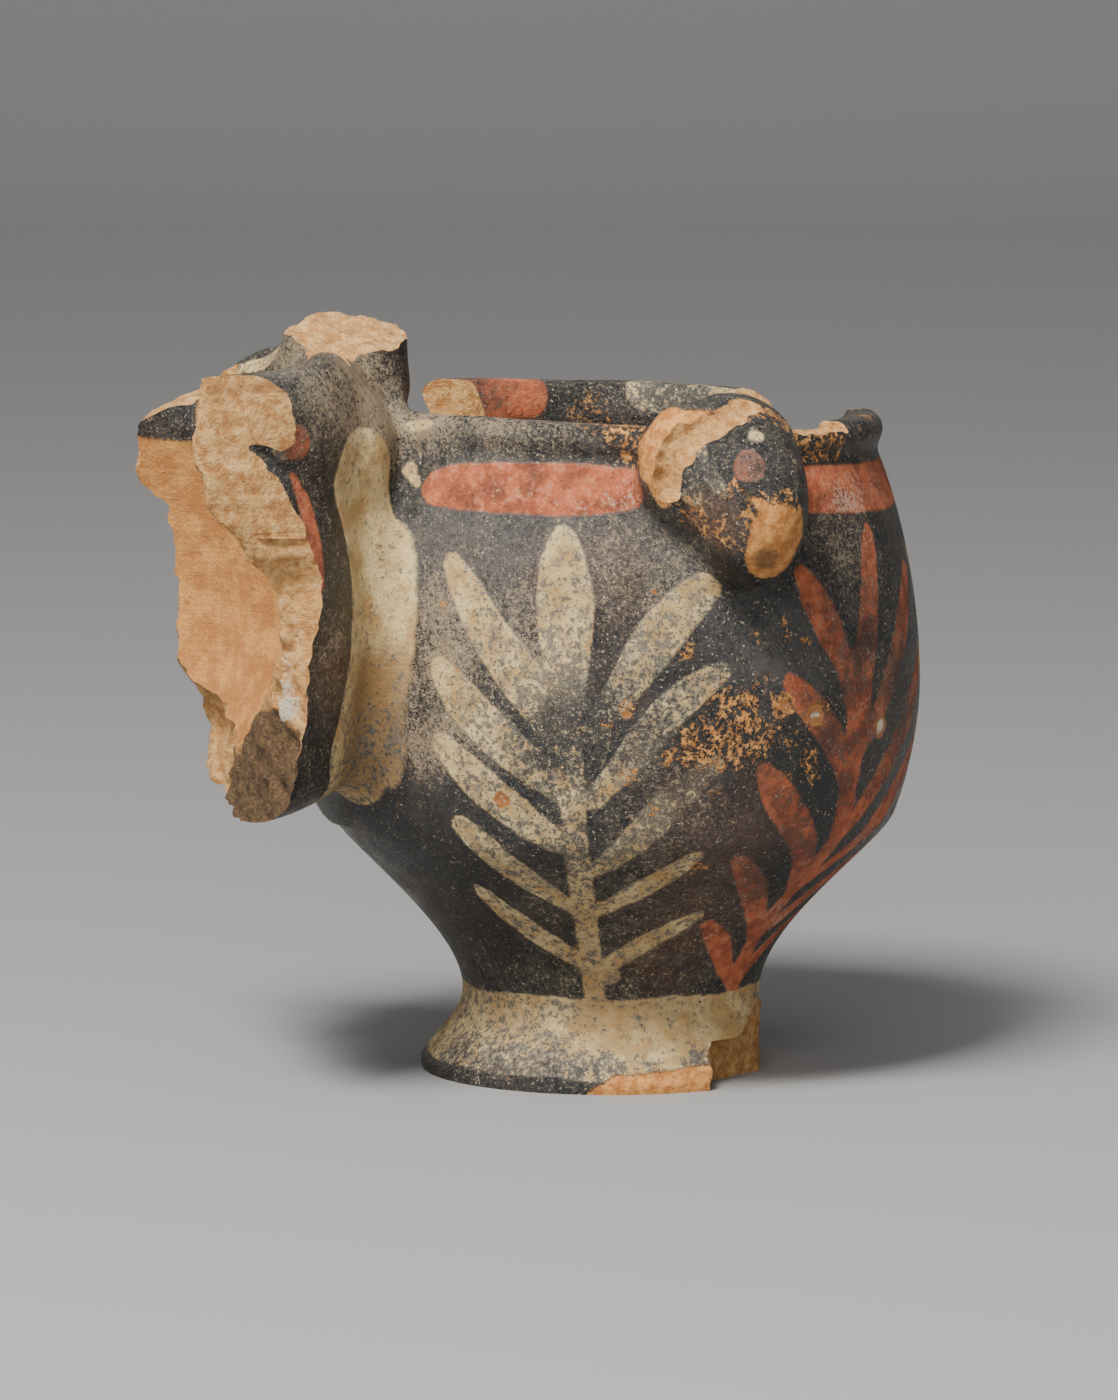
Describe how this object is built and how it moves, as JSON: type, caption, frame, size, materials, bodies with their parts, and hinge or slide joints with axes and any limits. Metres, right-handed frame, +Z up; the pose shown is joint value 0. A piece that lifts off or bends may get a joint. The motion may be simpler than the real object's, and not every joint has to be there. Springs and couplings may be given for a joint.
{
  "type": "kamares ware jar",
  "caption": "Small round-bellied clay jar on a flared foot, with lug handles, a broken handle root and the torn wall of a second vessel, painted with leaf sprays.",
  "frame": {"origin": "centre of the foot's underside, on the jar's own axis, where it stands", "axes": "+Z up along the jar's axis, -X towards the broken side vessel, -Y towards the near lug handle, whose side faces forward"},
  "size_m": [0.1091, 0.102, 0.1023],
  "materials": {
    "fired_clay": "worn dark slip over pale clay"
  },
  "bodies": {
    "root": {"jar": "fired_clay"}
  },
  "joints": []
}
